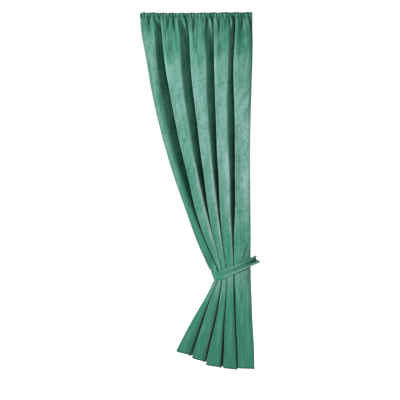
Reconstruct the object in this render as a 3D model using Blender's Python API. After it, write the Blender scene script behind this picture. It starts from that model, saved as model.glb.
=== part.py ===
"""Velvet drape with a tieback.

One length of velvet hangs from its gathered heading in five folds. A band of the same velvet
draws it in to the right, low down, and below the band the folds open again to a stepped hem.

Metres, X to the right, Y back towards the wall, Z up. The origin is the middle of the heading's
top edge, so every height below it is minus a drop.
"""

import bmesh
import bpy
import numpy as np

# ---- driving sizes -------------------------------------------------------------------------

CLOTH_THICK = 0.0020        # velvet, one layer
ROLL_BACK = 0.018           # how far a fold's leading edge turns back
OVERHANG = 0.012            # how far a valley runs in under the next fold
FULL_PITCH = 0.095          # a fold narrower than this turns and overhangs less, in proportion
LEAST_TURN = 0.24           # the least that this leaves of them
FREE_DEPTH = 0.125          # deepest that a fold may be, front to back
SIDE_DEPTH = 0.085          # depth of the last fold, whose side is turned back
SIDE_TURN = (0.15, 0.50)    # drops over which its side hem comes to curl in
SIDE_FRONT = 0.90           # share of the last fold that faces forward

GATHERS = 36                # small gathers across the heading
GATHER_DEPTH = 0.0066       # half the height of one gather's wave
GATHER_END = 0.078          # drop at which most of the small gathers have run out
STITCH_DROP = 0.031         # the drawn stitch line below the top edge
EDGE_WAVE = 0.0035          # height of the top edge's long waves
EDGE_SAG = 0.0045           # how far it sags left of its middle
EDGE_CORNER = 0.006         # and drops at its left corner
ROLL_SWELL = 0.0035         # how far the heading's roll stands out above the stitch line
STITCH_DRAW = 0.0020        # and how far back the stitched line itself lies
FOLD_START = 0.017          # drops between which the heading opens into the folds
FOLD_FULL = 0.200
FOLD_HASTE = 0.54           # below 1, the folds open sooner

TIE_WIDTH = 0.058
TIE_TAPER = 0.11            # share of its width that it loses towards the ends
TIE_PINCH = 0.0065          # how far its lower edge is drawn up, midway along
TIE_THICK = 0.0025
TIE_LEFT = 0.1305           # the waist's left and right sides, inside the band
TIE_RIGHT = 0.3835
TIE_DEPTH = 0.114           # the waist's depth, front to back
TIE_END = 0.4300            # where the two ends are cut
TIE_LOW = 1.846             # drop of the band's middle at its left, lowest, side
TIE_RISE = 0.118            # how much it climbs to the ends
TIE_CLIMB = 1.3             # how the climb gathers pace
TIE_GAP = 0.0017            # from the waist's oval to the band's inner face
TIE_NOTCH = 0.014           # how far the middle of a cut end is drawn in
OVAL_POWER = 2.4            # squareness of the waist's oval
HOLD_FULL = 0.031           # the band draws the cloth's sides in so far above and below its middle
HOLD_REACH = 0.046          # and lets them go by here
GRIP_FULL = 0.039           # the fronts and backs lie on the oval so far above and below it
GRIP_REACH = 0.190          # and hang free by here
INNER_EASE = 0.4            # share of the inward turns that the band presses flat

# ---- sections: one row for each height -------------------------------------------------------
# columns: drop; edge1 to edge5 and side, the X of the folds' left edges and of the drape's right
# side; front1 to front4, the share of each fold's width that faces forward
SECTIONS = np.array((
    (0.000, -0.393, -0.2505, -0.064, 0.1175, 0.2725, 0.393, 0.62, 0.70, 0.68, 0.78),
    (0.161, -0.379, -0.238, -0.049, 0.1245, 0.269, 0.3925, 0.655, 0.665, 0.600, 0.735),
    (0.336, -0.347, -0.2215, -0.041, 0.125, 0.260, 0.3905, 0.565, 0.64, 0.67, 0.745),
    (0.546, -0.312, -0.1865, -0.0225, 0.1305, 0.263, 0.3840, 0.51, 0.60, 0.62, 0.66),
    (0.756, -0.266, -0.1470, 0.0035, 0.1385, 0.2695, 0.3780, 0.49, 0.595, 0.605, 0.600),
    (0.966, -0.211, -0.1030, 0.0290, 0.1455, 0.2710, 0.3735, 0.50, 0.615, 0.630, 0.625),
    (1.176, -0.146, -0.0520, 0.0575, 0.1575, 0.2715, 0.3745, 0.55, 0.645, 0.655, 0.665),
    (1.386, -0.0715, -0.0035, 0.085, 0.167, 0.272, 0.3765, 0.66, 0.785, 0.775, 0.665),
    (1.596, 0.0035, 0.067, 0.126, 0.1825, 0.2625, 0.3785, 0.83, 0.92, 0.88, 0.82),
    (1.736, 0.0645, 0.1255, 0.166, 0.202, 0.2645, 0.3785, 0.84, 0.88, 0.86, 0.86),
    (1.792, 0.090, 0.152, 0.1795, 0.209, 0.268, 0.3795, 0.80, 0.80, 0.80, 0.82),
    (1.848, 0.1235, 0.152, 0.181, 0.211, 0.2685, 0.3800, 0.78, 0.78, 0.78, 0.82),
    (1.904, 0.1130, 0.140, 0.179, 0.212, 0.268, 0.3810, 0.79, 0.79, 0.79, 0.82),
    (1.960, 0.0835, 0.1175, 0.1710, 0.2115, 0.268, 0.3835, 0.80, 0.81, 0.81, 0.83),
    (2.156, -0.0295, 0.0505, 0.1370, 0.199, 0.2745, 0.391, 0.80, 0.79, 0.81, 0.86),
    (2.366, -0.1385, -0.0155, 0.0870, 0.193, 0.287, 0.403, 0.81, 0.82, 0.82, 0.87),
    (2.500, -0.2015, -0.054, 0.0590, 0.187, 0.294, 0.405, 0.81, 0.82, 0.82, 0.87),
))
DROPS = SECTIONS[:, 0]
EDGES = SECTIONS[:, 1:7].T
FRONTS = SECTIONS[:, 7:].T

# ---- pleats: the wider gathers that run down from the heading, one row for each -----------------
# columns: x at the heading; lean, sideways for each metre down; height, forward, or back for a
# trough; width, half its breadth; run, the drop at which it has died away
PLEATS = np.array((
    (-0.334, 0.09, -0.006, 0.008, 0.160),
    (-0.303, 0.16, 0.006, 0.009, 0.170),
    (-0.276, 0.15, 0.012, 0.007, 0.140),
    (-0.182, -0.22, -0.008, 0.009, 0.300),
    (-0.164, 0.06, -0.008, 0.008, 0.240),
    (-0.094, 0.03, 0.022, 0.006, 0.190),
    (-0.010, -0.08, -0.008, 0.009, 0.260),
    (0.060, 0.06, 0.008, 0.006, 0.120),
    (0.0880, 0.02, 0.026, 0.006, 0.240),
    (0.164, -0.07, -0.008, 0.009, 0.260),
    (0.2400, 0.02, 0.024, 0.005, 0.170),
    (0.325, -0.12, -0.008, 0.010, 0.220),
    (0.372, 0.02, -0.010, 0.009, 0.360),
))

# ---- folds: one row for each, left to right ----------------------------------------------------
# columns: cloth, the width of cloth in it; bow, how far its front's right end curves back; hem left
# and hem right, the drop of its hem at the two ends of its front
FOLDS = np.array((
    (0.250, 0.014, 2.367, 2.403),
    (0.340, 0.000, 2.411, 2.444),
    (0.320, 0.000, 2.460, 2.483),
    (0.290, 0.000, 2.483, 2.496),
    (0.200, 0.000, 2.486, 2.4915),
))
CLOTH, BOW, HEM_LEFT, HEM_RIGHT = FOLDS.T
BOW_COME = (0.25, 0.70)                   # drops over which the bow comes
BOW_FADE = (1.20, 1.60)                   # and over which it goes
BOW_CREST = 0.30                          # how far across the front its crest stands

# ---- the course of one fold, from its leading edge to the next one's -------------------------
# columns: head, the share of the fold's width at the heading; across, 0 to 1 over the front;
# beyond, 0 to 1 over the valley; under, the share of the overhang; deep, 0 in front and 1 at the
# back; right and back, the offsets that round the turns
COURSE = np.array((
    (0.000, 0.00, 0.00, 0.00, 0.00, 0.005, ROLL_BACK),
    (0.030, 0.00, 0.00, 0.00, 0.00, -0.004, 0.003),
    (0.080, 0.00, 0.00, 0.00, 0.00, 0.012, -0.003),
    (0.280, 0.38, 0.00, 0.00, 0.00, 0.000, -0.004),
    (0.520, 0.78, 0.00, 0.00, 0.00, 0.000, -0.004),
    (0.680, 1.00, 0.00, 0.00, 0.00, -0.001, -0.003),
    (0.730, 1.00, 0.00, 0.00, 0.00, 0.005, 0.008),
    (0.780, 1.00, 0.38, 0.38, 0.40, 0.000, 0.000),
    (0.840, 1.00, 0.74, 0.74, 0.76, 0.000, 0.000),
    (0.880, 1.00, 1.00, 1.00, 1.00, -0.005, -0.004),
    (0.905, 1.00, 1.00, 1.00, 1.00, 0.006, 0.002),
    (0.930, 1.00, 1.00, 1.00, 1.00, 0.008, -0.018),
    (0.965, 1.00, 1.00, 1.00, 0.50, 0.003, 0.000),
))
# the last fold has no valley: its side is turned back and in
SIDE_COURSE = np.array((
    (0.750, 1.00, 0.40, 0.00, 0.00, 0.000, -0.002),
    (0.860, 1.00, 0.98, 0.00, 0.00, 0.000, 0.000),
    (0.915, 1.00, 1.00, 0.00, 0.10, 0.001, 0.000),
    (0.955, 1.00, 1.00, 0.00, 0.45, -0.006, 0.000),
    (1.000, 1.00, 1.00, 0.00, 0.84, -0.022, 0.000),
))


# ---- small helpers ---------------------------------------------------------------------------

def ease(value, start, end):
    """0 before start, 1 after end, and a smooth step between."""
    t = np.clip((value - start) / (end - start), 0.0, 1.0)
    return t * t * (3.0 - 2.0 * t)


def bump(value, middle, width):
    """1 at the middle, falling away smoothly on both sides."""
    return np.exp(-((value - middle) / width) ** 2)


def read_sections(values, drop):
    """A smooth curve through one column of the sections, read at any drop."""
    slopes = np.gradient(values, DROPS)
    row = np.clip(np.searchsorted(DROPS, drop) - 1, 0, len(DROPS) - 2)
    span = DROPS[row + 1] - DROPS[row]
    t = (drop - DROPS[row]) / span
    start = values[row] * (1 + 2 * t) + slopes[row] * span * t
    end = values[row + 1] * (3 - 2 * t) - slopes[row + 1] * span * (1 - t)
    return start * (1 - t) ** 2 + end * t ** 2


def tie_drop(x):
    """Drop of the band's middle line at x."""
    t = np.clip((x - TIE_LEFT) / (TIE_END - TIE_LEFT), 0.0, 1.0)
    return TIE_LOW - TIE_RISE * t ** TIE_CLIMB


def waist_half_depth(x):
    """Half the depth of the waist's oval at x."""
    middle = (TIE_LEFT + TIE_RIGHT) / 2
    t = np.clip(np.abs(x - middle) / (TIE_RIGHT - middle), 0.0, 1.0)
    return TIE_DEPTH / 2 * (1 - t ** OVAL_POWER) ** (1 / OVAL_POWER)


# ---- the drape's surface ---------------------------------------------------------------------

STEPS = len(COURSE)                       # course points in one fold
FRONT_STEPS = (1, 6)                      # the first and last of them on its front
SIDE_START = 6                            # where the last fold leaves the common course
FULL_FOLDS = len(FOLDS) - 1
LAST = FULL_FOLDS * STEPS + SIDE_START + len(SIDE_COURSE) - 1
HEAD_EDGES = EDGES[:, 0]                  # X of the fold edges at the heading


def course_row(index):
    """Fold number and course values of course points counted along the whole width."""
    index = np.clip(index, 0, LAST)
    fold = np.minimum(index // STEPS, FULL_FOLDS)
    step = index - fold * STEPS
    rows = COURSE[np.minimum(step, STEPS - 1)]
    on_side = (fold == FULL_FOLDS) & (step >= SIDE_START)
    side_rows = SIDE_COURSE[np.clip(step - SIDE_START, 0, len(SIDE_COURSE) - 1)]
    return fold, np.where(on_side[:, None], side_rows, rows)


def head_at(index):
    """X at the heading of course points."""
    fold, rows = course_row(index)
    return HEAD_EDGES[fold] + (HEAD_EDGES[fold + 1] - HEAD_EDGES[fold]) * rows[:, 0]


def fold_depth(cloth, front, wide, under):
    """Depth of a fold whose cloth, past its front, is shared by the way back and the way out."""
    spare = cloth - front
    reach = (spare ** 2 + wide ** 2 - under ** 2) / (2 * spare)
    depth = np.sqrt(np.maximum(reach ** 2 - wide ** 2, 0.0))
    return depth / (1 + (depth / FREE_DEPTH) ** 6) ** (1 / 6)


def course_point(index, drop):
    """X and Y of course points at their drops."""
    fold, rows = course_row(index)
    across, beyond, under, deep, right, back = rows[:, 1:].T
    lines = np.array([read_sections(edge, drop) for edge in EDGES])
    pick = np.arange(len(drop))
    left = lines[fold, pick]
    pitch = lines[fold + 1, pick] - left
    last = fold == FULL_FOLDS
    shares = np.array([read_sections(front, drop) for front in FRONTS])
    front = pitch * np.where(last, SIDE_FRONT, shares[np.minimum(fold, FULL_FOLDS - 1), pick])
    small = np.clip(pitch / FULL_PITCH, LEAST_TURN, 1.0)
    overhang = OVERHANG * small
    depth = fold_depth(CLOTH[fold], front, pitch - front + overhang, overhang)
    depth = np.where(last, SIDE_DEPTH, depth)

    x = left + across * front + beyond * (pitch - front) + under * overhang
    inward = np.where(last & (right < 0), ease(drop, *SIDE_TURN), 1.0)
    x = x + right * small * inward

    # the band draws the sides in, and the fronts and backs under it lie on the waist's oval
    away = np.abs(drop - tie_drop(x))
    hold = 1 - ease(away, HOLD_FULL, HOLD_REACH)
    lift = np.clip((tie_drop(x) - drop) / TIE_WIDTH + 0.5, 0.0, 1.0)
    x = x + hold * np.maximum(TIE_LEFT - LEAN * lift + CLOTH_THICK / 2 - x, 0.0)
    grip = 1 - ease(away, GRIP_FULL, GRIP_REACH)
    half = (1 - grip) * depth / 2 + grip * waist_half_depth(x)
    outward = back * (deep - 0.5) > 0
    bow = BOW[fold] * ease(drop, *BOW_COME) * (1 - ease(drop, *BOW_FADE))
    curve = ((across - BOW_CREST) / (1 - BOW_CREST)) ** 2
    y = half * (2 * deep - 1) + bow * curve * (1 - deep)
    y = y + back * np.maximum(small, 0.5) * (1 - grip * np.where(outward, 1.0, INNER_EASE))
    return x, y


def fold_surface(place, drop):
    """X and Y of the hanging folds at places along the course, as a cubic B-spline."""
    base = np.floor(place).astype(int)
    t = place - base
    weights = (
        (1 - t) ** 3 / 6,
        (3 * t ** 3 - 6 * t ** 2 + 4) / 6,
        (-3 * t ** 3 + 3 * t ** 2 + 3 * t + 1) / 6,
        t ** 3 / 6,
    )
    x = np.zeros(len(place))
    y = np.zeros(len(place))
    for offset, weight in zip((-1, 0, 1, 2), weights):
        point_x, point_y = course_point(base + offset, drop)
        x += weight * point_x
        y += weight * point_y
    return x, y


def gather_turn(head_x):
    """Count of small gathers from the left, uneven in pitch."""
    turn = (head_x - HEAD_EDGES[0]) / (HEAD_EDGES[-1] - HEAD_EDGES[0]) * GATHERS
    return turn + 0.16 * np.sin(turn * 0.83) + 0.11 * np.sin(turn * 1.71 + 1.0)


def gathers(head_x, drop):
    """How far the heading's small gathers and wider pleats stand forward."""
    turn = gather_turn(head_x)
    height = 1 + 0.30 * np.sin(turn * 1.37 + 0.6)
    run = GATHER_END * (1 + 0.35 * np.sin(turn * 2.3 + 2.0))
    small = height * np.sin(2 * np.pi * turn) * (1 - ease(drop, STITCH_DROP, run))
    small = small * (1 - 0.30 * bump(drop, STITCH_DROP, 0.008))
    forward = GATHER_DEPTH * small
    for x, lean, tall, width, run in PLEATS:
        shape = bump(head_x, x + lean * drop, width + 0.02 * drop)
        forward = forward + tall * shape * ease(drop, 0.0, 0.060) * (1 - ease(drop, 0.3 * run, run))
    return forward


def top_edge(head_x):
    """How far the heading's top edge lies below its highest point."""
    turn = gather_turn(head_x) - 1.3
    wave = 0.5 - 0.5 * np.cos(2 * np.pi * (0.3 * turn + 0.4 * np.sin(0.094 * turn)))
    corner = EDGE_CORNER * bump(head_x, HEAD_EDGES[0], 0.012)
    return EDGE_WAVE * wave + EDGE_SAG * bump(head_x, -0.13, 0.26) + corner


def drape_surface(place, drop):
    """Points of the drape's middle surface, at places along the course and drops."""
    index = np.arange(LAST + 1)
    head_x = np.interp(place, index, head_at(index))
    x, y = fold_surface(place, drop)
    opened = ease(drop, FOLD_START, FOLD_FULL) ** FOLD_HASTE
    x = head_x + (x - head_x) * opened
    swell = ROLL_SWELL * bump(drop, STITCH_DROP / 2, 0.009)
    swell = swell - STITCH_DRAW * bump(drop, STITCH_DROP, 0.008)
    y = y * opened - gathers(head_x, drop) - swell
    edge = top_edge(head_x) * (1 - ease(drop, 0.0, STITCH_DROP))
    return np.column_stack((x, y, -drop - edge))


def hem_drop(place):
    """Drop of the hem at places along the course."""
    knots = []
    drops = []
    for n in range(len(FOLDS)):
        knots += [n * STEPS + FRONT_STEPS[0], n * STEPS + FRONT_STEPS[1]]
        drops += [HEM_LEFT[n], HEM_RIGHT[n]]
    return np.interp(place, knots, drops)


# ---- building --------------------------------------------------------------------------------

FINE_COLUMNS = GATHERS * 4                # columns across the heading
FINE_DROPS = (0.0, 0.008, 0.018, STITCH_DROP, 0.046, 0.070)
MIDDLE_COLUMNS = 96                       # columns across the pleats below it
MIDDLE_DROPS = (0.100, 0.150, 0.200)
BODY_START = 0.265                        # first drop of the widest-spaced columns
ROWS_ABOVE = 13
ROWS_BELOW = 8
GRIP_ROWS = (-0.096, -0.056, -0.031, 0.0, 0.031, 0.056)


def even_rows(columns, drops):
    """Rows of points evenly spaced across the heading's width, one row a drop."""
    index = np.arange(LAST + 1)
    head_x = np.linspace(HEAD_EDGES[0], HEAD_EDGES[-1], columns + 1)
    place = np.interp(head_x, head_at(index), index)
    return head_x, [drape_surface(place, np.full(len(place), drop)) for drop in drops]


def body_rows():
    """Rows from below the pleats to the hem, level with the band where it passes."""
    index = np.arange(LAST + 1)
    place = index.astype(float)
    waist_x, _ = fold_surface(place, np.full(len(place), TIE_LOW))
    waist = tie_drop(waist_x)
    hem = hem_drop(place)
    drops = []
    top = waist + GRIP_ROWS[0]
    for share in np.linspace(0.0, 1.0, ROWS_ABOVE, endpoint=False):
        drops.append(BODY_START + (top - BODY_START) * share)
    for offset in GRIP_ROWS:
        drops.append(waist + offset)
    bottom = waist + GRIP_ROWS[-1]
    for share in np.linspace(0.0, 1.0, ROWS_BELOW + 1)[1:]:
        drops.append(bottom + (hem - bottom) * share)
    return head_at(index), [drape_surface(place, drop) for drop in drops]


def add_rows(bm, rows):
    """Vertices for each row, joined to the row above by quads."""
    made = [[bm.verts.new(point) for point in row] for row in rows]
    for upper, lower in zip(made, made[1:]):
        for n in range(len(upper) - 1):
            bm.faces.new((upper[n], lower[n], lower[n + 1], upper[n + 1]))
    return made


def zip_rows(bm, upper, upper_x, lower, lower_x):
    """Triangles between two rows that have different numbers of vertices."""
    i = 0
    j = 0
    while i < len(upper) - 1 or j < len(lower) - 1:
        next_upper = upper_x[i + 1] if i < len(upper) - 1 else np.inf
        next_lower = lower_x[j + 1] if j < len(lower) - 1 else np.inf
        if next_upper <= next_lower:
            bm.faces.new((upper[i], lower[j], upper[i + 1]))
            i += 1
        else:
            bm.faces.new((upper[i], lower[j], lower[j + 1]))
            j += 1


def velvet(name, colour):
    """A plain matt cloth material."""
    made = bpy.data.materials.new(name)
    made.use_nodes = True
    shader = made.node_tree.nodes["Principled BSDF"]
    shader.inputs["Base Color"].default_value = (*colour, 1.0)
    shader.inputs["Roughness"].default_value = 0.75
    shader.inputs["Metallic"].default_value = 0.0
    return made


def cloth_object(name, bm, thickness, material):
    """An object from a sheet's bmesh, thickened half to each side of its middle surface."""
    mesh = bpy.data.meshes.new(name)
    bm.to_mesh(mesh)
    bm.free()
    mesh.materials.append(material)
    mesh.shade_smooth()
    made = bpy.data.objects.new(name, mesh)
    bpy.context.scene.collection.objects.link(made)
    solid = made.modifiers.new("thickness", "SOLIDIFY")
    solid.thickness = thickness
    solid.offset = 0.0
    return made


def build_drape():
    """The whole length of velvet, heading to hem."""
    bm = bmesh.new()
    fine_x, fine = even_rows(FINE_COLUMNS, FINE_DROPS)
    middle_x, middle = even_rows(MIDDLE_COLUMNS, MIDDLE_DROPS)
    body_x, body = body_rows()
    fine_verts = add_rows(bm, fine)
    middle_verts = add_rows(bm, middle)
    body_verts = add_rows(bm, body)
    zip_rows(bm, fine_verts[-1], fine_x, middle_verts[0], middle_x)
    zip_rows(bm, middle_verts[-1], middle_x, body_verts[0], body_x)
    return cloth_object("drape", bm, CLOTH_THICK, velvet("drape_velvet", (0.075, 0.270, 0.205)))


# the band's relief, one row for each line along it
# columns: across, -1 at its lower edge and 1 at its upper; out, away from the waist
RELIEF = np.array((
    (-1.00, 0.0020),
    (-0.78, 0.0048),
    (-0.48, 0.0012),
    (0.00, 0.0000),
    (0.46, 0.0010),
    (0.80, 0.0042),
    (1.00, 0.0020),
))
LEAN = 0.0235                             # how far its upper edge leans out at the left side
ROUND_LEFT = 0.075                        # how far from the left side that dies away
LEFT_FLAT = 0.7                           # share of the relief pulled flat at the left side
END_SLANT = 0.006                         # how much further out the lower half of a cut end runs
OVAL_STEPS = 22                           # steps of the band round half of the oval
END_STEPS = 5                             # and from there to each cut end
END_HALF_GAP = 0.0070                     # the two ends lie this far each side of Y = 0


def band_path():
    """The band's inner line, from the front end round the waist's left to the back end."""
    middle = (TIE_LEFT + TIE_RIGHT) / 2
    power = 2 / OVAL_POWER
    turns = np.linspace(0.0, np.pi, 400)[1:-1]
    x = middle + (TIE_RIGHT - middle) * np.sign(np.cos(turns)) * np.abs(np.cos(turns)) ** power
    y = -TIE_DEPTH / 2 * np.sin(turns) ** power
    out_x = -np.gradient(y)
    out_y = np.gradient(x)
    length = np.hypot(out_x, out_y)
    x = x + out_x / length * TIE_GAP
    y = y + out_y / length * TIE_GAP
    leave = np.argmax((-y - END_HALF_GAP) / (TIE_END - x))
    x = np.append(x[leave:], TIE_LEFT - TIE_GAP)
    y = np.append(y[leave:], 0.0)
    run = np.concatenate(([0.0], np.cumsum(np.hypot(np.diff(x), np.diff(y)))))
    stops = run[-1] * (1 - (1 - np.linspace(0.0, 1.0, OVAL_STEPS + 1)) ** 1.25)
    x = np.interp(stops, run, x)
    y = np.interp(stops, run, y)
    t = np.linspace(0.0, 1.0, END_STEPS + 1)[:-1]
    x = np.concatenate((TIE_END + (x[0] - TIE_END) * t, x))
    y = np.concatenate((-END_HALF_GAP + (y[0] + END_HALF_GAP) * t ** 1.3, y))
    x = np.concatenate((x, x[-2::-1]))
    y = np.concatenate((y, -y[-2::-1]))
    return np.column_stack((x, y, -tie_drop(x)))


def build_tieback():
    """The band round the waist."""
    path = band_path()
    along = np.gradient(path, axis=0)
    along /= np.linalg.norm(along, axis=1)[:, None]
    out = np.column_stack((-along[:, 1], along[:, 0], np.zeros(len(path))))
    out /= np.linalg.norm(out, axis=1)[:, None]
    up = np.cross(along, out)
    last = len(path) - 1
    rows = []
    for n in range(len(path)):
        round_left = 1 - ease(path[n][0], TIE_LEFT, TIE_LEFT + ROUND_LEFT)
        towards_end = (path[n][0] - TIE_LEFT) / (TIE_END - TIE_LEFT)
        half = TIE_WIDTH / 2 * (1 - TIE_TAPER * towards_end ** 2)
        pinch = TIE_PINCH * ease(towards_end, 0.15, 0.36) * (1 - ease(towards_end, 0.80, 0.97))
        row = []
        for across, lift in RELIEF:
            lift = lift * (1 - LEFT_FLAT * round_left) + LEAN * round_left * (across + 1) / 2
            below = half - pinch if across < 0 else half
            point = path[n] + up[n] * across * below + out[n] * (lift + TIE_THICK / 2)
            if n in (0, last):
                inward = along[n] if n == 0 else -along[n]
                point = point + inward * (TIE_NOTCH * (1 - abs(across)) - END_SLANT * (across < 0))
            row.append(point)
        rows.append(row)
    bm = bmesh.new()
    add_rows(bm, rows)
    return cloth_object("tieback", bm, TIE_THICK, velvet("tie_velvet", (0.060, 0.250, 0.180)))


def clear_scene():
    """Removes whatever the file held."""
    for old in list(bpy.data.objects):
        bpy.data.objects.remove(old)


clear_scene()
build_drape()
build_tieback()
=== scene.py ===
import math
import bmesh
import bpy
import numpy as np
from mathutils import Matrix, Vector


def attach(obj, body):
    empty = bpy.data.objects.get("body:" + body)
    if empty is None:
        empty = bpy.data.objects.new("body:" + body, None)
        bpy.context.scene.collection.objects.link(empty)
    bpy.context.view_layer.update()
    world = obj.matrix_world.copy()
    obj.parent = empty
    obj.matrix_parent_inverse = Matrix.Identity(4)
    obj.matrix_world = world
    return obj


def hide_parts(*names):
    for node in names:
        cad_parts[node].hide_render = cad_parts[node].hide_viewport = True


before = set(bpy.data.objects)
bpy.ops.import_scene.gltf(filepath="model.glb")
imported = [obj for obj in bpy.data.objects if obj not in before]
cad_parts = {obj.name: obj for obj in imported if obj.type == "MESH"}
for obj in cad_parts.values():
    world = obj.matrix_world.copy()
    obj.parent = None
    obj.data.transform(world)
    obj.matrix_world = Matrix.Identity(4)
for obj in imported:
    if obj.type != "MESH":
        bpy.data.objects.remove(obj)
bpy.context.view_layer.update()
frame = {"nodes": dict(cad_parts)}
print("frame loaded:", ", ".join(frame["nodes"]))


# shader maths
class Shade:
    # one socket of a material's nodes, so that its maths reads as an expression
    def __init__(self, tree, socket=None):
        self.tree = tree
        self.socket = socket

    def node(self, kind, settings, inputs, output=0):
        # a new node: its settings first, then a value or a link for each socket
        made = self.tree.nodes.new("ShaderNode" + kind)
        for name, value in settings.items():
            setattr(made, name, value)
        for name, value in inputs.items():
            if isinstance(value, Shade):
                self.tree.links.new(value.socket, made.inputs[name])
            else:
                made.inputs[name].default_value = value
        return Shade(self.tree, made.outputs[output] if len(made.outputs) else None)

    def maths(self, operation, *values):
        return self.node("Math", {"operation": operation}, dict(enumerate(values)))

    def __add__(self, other):
        return self.maths("ADD", self, other)

    def __radd__(self, other):
        return self.maths("ADD", other, self)

    def __sub__(self, other):
        return self.maths("SUBTRACT", self, other)

    def __rsub__(self, other):
        return self.maths("SUBTRACT", other, self)

    def __mul__(self, other):
        return self.maths("MULTIPLY", self, other)

    def __rmul__(self, other):
        return self.maths("MULTIPLY", other, self)

    def clamped(self):
        return self.node("Clamp", {}, {"Value": self})

    def between(self, low, high):
        # 0 at the low value, 1 at the high one
        return self.node("MapRange", {}, {"Value": self, "From Min": low, "From Max": high})

    def mixed(self, first, second):
        # two colours, this value of the second
        settings = {"data_type": "RGBA", "clamp_factor": True}
        return self.node("Mix", settings, {"Factor": self, 6: first, 7: second}, 2)


# small helpers
def ease(value, start, end):
    # 0 before the start, 1 after the end, and a smooth step between
    t = np.clip((value - start) / (end - start), 0.0, 1.0)
    return t * t * (3.0 - 2.0 * t)


def fading(value, amount, start, end):
    # an amount that has gone by the end
    return amount * (1 - ease(value, start, end))


def bump(value, middle, width):
    # 1 at the middle, falling away on both sides
    return np.exp(-((value - middle) / width) ** 2)


def addRows(bm, rows):
    # a sheet of four-sided faces through rows of equal counts
    made = [[bm.verts.new(point) for point in row] for row in rows]
    for upper, lower in zip(made, made[1:]):
        for n in range(len(upper) - 1):
            bm.faces.new((upper[n], lower[n], lower[n + 1], upper[n + 1]))
    return made


def zipRows(bm, upper, upperX, lower, lowerX):
    # triangles between two rows of different counts
    i = j = 0
    while i < len(upper) - 1 or j < len(lower) - 1:
        nextUpper = upperX[i + 1] if i < len(upper) - 1 else np.inf
        nextLower = lowerX[j + 1] if j < len(lower) - 1 else np.inf
        if nextUpper <= nextLower:
            bm.faces.new((upper[i], lower[j], upper[i + 1]))
            i += 1
        else:
            bm.faces.new((upper[i], lower[j], lower[j + 1]))
            j += 1


def clothPiece(name, bm, thickness, material, marks):
    # a sheet thickened to both sides, with what each point carries for its finish
    mesh = bpy.data.meshes.new(name)
    bm.to_mesh(mesh)
    bm.free()
    mesh.materials.append(material)
    mesh.shade_smooth()
    for mark, values in marks.items():
        values = np.asarray(values, dtype=np.float32)
        kind = "FLOAT_VECTOR" if values.ndim == 2 else "FLOAT"
        layer = mesh.attributes.new(mark, kind, "POINT")
        layer.data.foreach_set("vector" if values.ndim == 2 else "value", values.ravel())
    made = bpy.data.objects.new(name, mesh)
    bpy.context.scene.collection.objects.link(made)
    solid = made.modifiers.new("thickness", "SOLIDIFY")
    solid.thickness = thickness
    solid.offset = 0.0
    return made


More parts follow.
